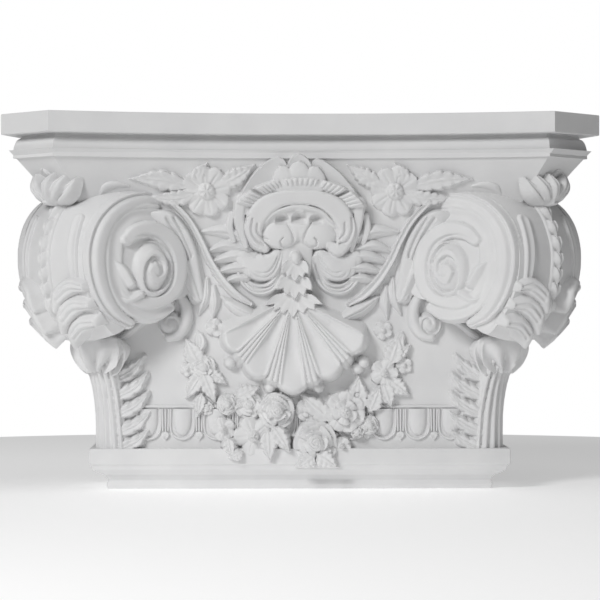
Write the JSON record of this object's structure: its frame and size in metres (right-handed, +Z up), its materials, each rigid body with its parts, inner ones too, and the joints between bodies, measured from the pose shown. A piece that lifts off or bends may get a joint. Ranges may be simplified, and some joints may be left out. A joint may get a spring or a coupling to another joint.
{
  "type": "pilaster capital",
  "caption": "Cast wall pilaster capital with horned abacus, corner scrolls, shell cartouche, flower garland, egg-and-dart band and moulded foot; the flat back meets the wall.",
  "frame": {"origin": "centre of the bounding box at the underside", "axes": "+X to the right seen from the front, -Y out from the wall (front), +Z up; the flat back lies at +Y"},
  "size_m": [0.62, 0.2, 0.392],
  "materials": {
    "casting": "smooth matt white primer on cast urethane"
  },
  "bodies": {
    "root": {"capital": "casting"}
  },
  "joints": []
}
